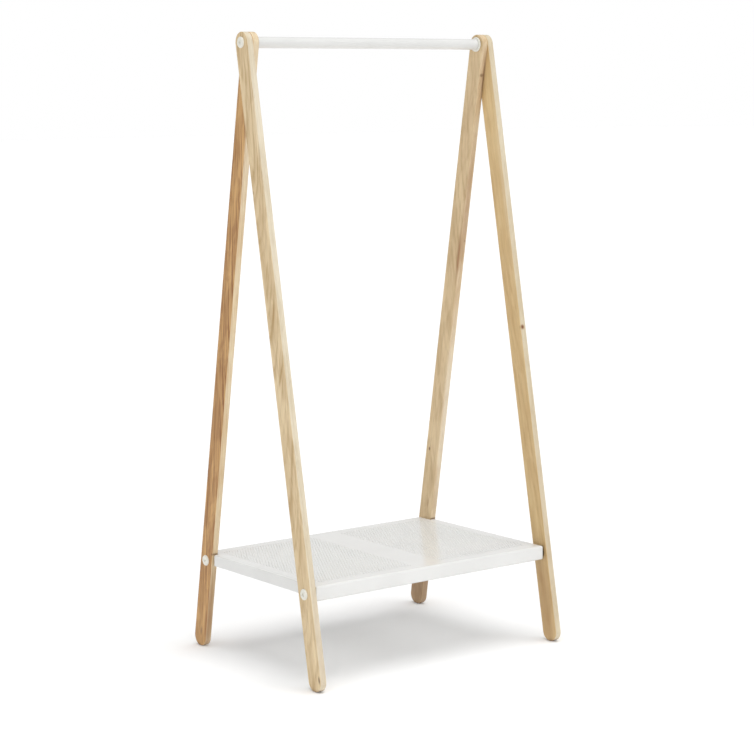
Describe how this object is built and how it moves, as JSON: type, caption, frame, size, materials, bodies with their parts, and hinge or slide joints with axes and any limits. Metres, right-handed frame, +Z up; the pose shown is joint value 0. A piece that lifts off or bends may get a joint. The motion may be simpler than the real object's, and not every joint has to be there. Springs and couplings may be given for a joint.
{
  "type": "clothes rack",
  "caption": "Free-standing clothes rack: crossed wooden A-frame ends joined by a white hanging rail at the top and a low white perforated metal shelf.",
  "frame": {"origin": "on the floor, under the middle of the rack", "axes": "+Z up; +X along the hanging rail, to the right as seen from the front; +Y to the rear"},
  "size_m": [0.7938, 0.601, 1.6],
  "materials": {
    "cream_ash": "clear matt lacquer on pale ash",
    "warm_ash": "clear matt lacquer on warm ash with a cathedral grain",
    "golden_ash": "clear matt lacquer on golden ash",
    "white_powder_coat": "white semi-gloss powder coat",
    "zinc_steel": "zinc plated",
    "dark_rubber": "matt",
    "glide_plastic": "matt"
  },
  "bodies": {
    "root": {"left_front_leg": "cream_ash", "left_front_glide": "glide_plastic", "left_front_shelf_screw": "white_powder_coat", "left_front_shelf_nut": "zinc_steel", "left_rear_leg": "warm_ash", "left_rear_glide": "glide_plastic", "left_rear_shelf_screw": "white_powder_coat", "left_rear_shelf_nut": "zinc_steel", "left_shelf_spacer": "dark_rubber", "left_rail_bolt": "white_powder_coat", "left_rail_collar": "white_powder_coat", "left_rail_insert": "zinc_steel", "right_front_leg": "golden_ash", "right_front_glide": "glide_plastic", "right_front_shelf_screw": "white_powder_coat", "right_front_shelf_nut": "zinc_steel", "right_rear_leg": "golden_ash", "right_rear_glide": "glide_plastic", "right_rear_shelf_screw": "white_powder_coat", "right_rear_shelf_nut": "zinc_steel", "right_shelf_spacer": "dark_rubber", "right_rail_bolt": "white_powder_coat", "right_rail_collar": "white_powder_coat", "right_rail_insert": "zinc_steel", "hanging_rail": "white_powder_coat", "shelf_tray": "white_powder_coat", "shelf_rib": "white_powder_coat"}
  },
  "joints": []
}
